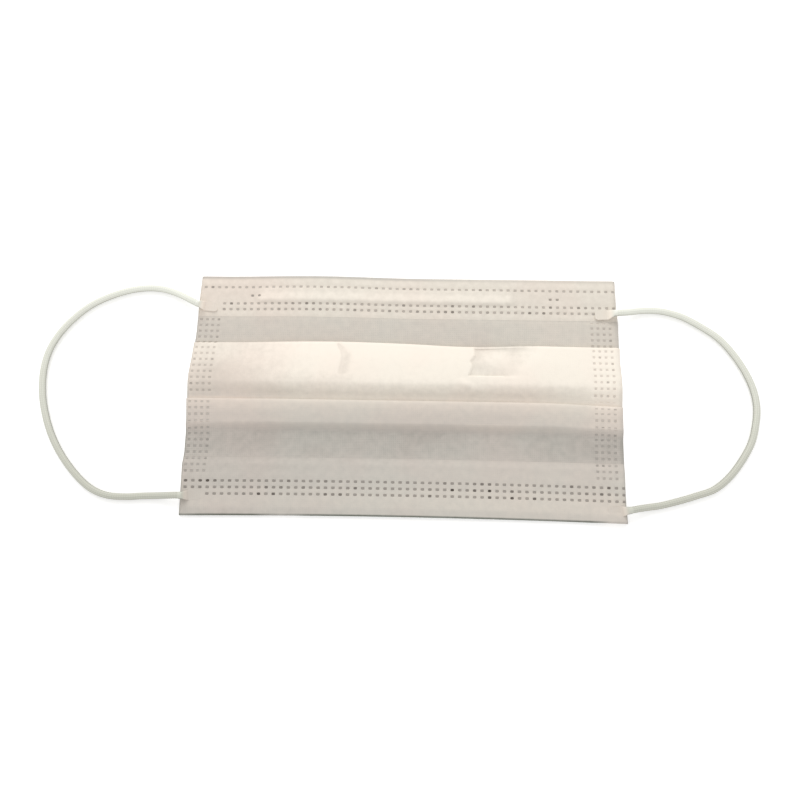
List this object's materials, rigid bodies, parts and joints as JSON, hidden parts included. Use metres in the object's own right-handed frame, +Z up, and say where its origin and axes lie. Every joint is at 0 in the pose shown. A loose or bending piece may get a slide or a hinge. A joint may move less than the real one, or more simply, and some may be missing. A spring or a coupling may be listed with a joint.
{
  "type": "surgical face mask",
  "caption": "Pleated rectangular face mask lying flat, with turned-over hems, a nose wire pocket and round elastic ear loops.",
  "frame": {"origin": "under the middle of the cloth, on the surface that the mask lies on", "axes": "+X along the width of the mask, +Y towards the nose edge, +Z up, out of the wearer's side"},
  "size_m": [0.2926, 0.1014, 0.0053],
  "materials": {
    "pleated_cloth": "matte three-ply nonwoven",
    "hem_cloth": "matte nonwoven, welded in dots",
    "wire_coating": "white coated flat wire",
    "pressed_elastic": "elastic pressed and melted flat",
    "loop_elastic": "round knitted elastic"
  },
  "bodies": {
    "root": {"pleated_cloth": "pleated_cloth", "nose_hem": "hem_cloth", "chin_hem": "hem_cloth", "nose_wire": "wire_coating", "loop_weld_nose_left": "pressed_elastic", "loop_weld_nose_right": "pressed_elastic", "loop_weld_chin_left": "pressed_elastic", "loop_weld_chin_right": "pressed_elastic", "ear_loop_left": "loop_elastic", "ear_loop_right": "loop_elastic"}
  },
  "joints": []
}
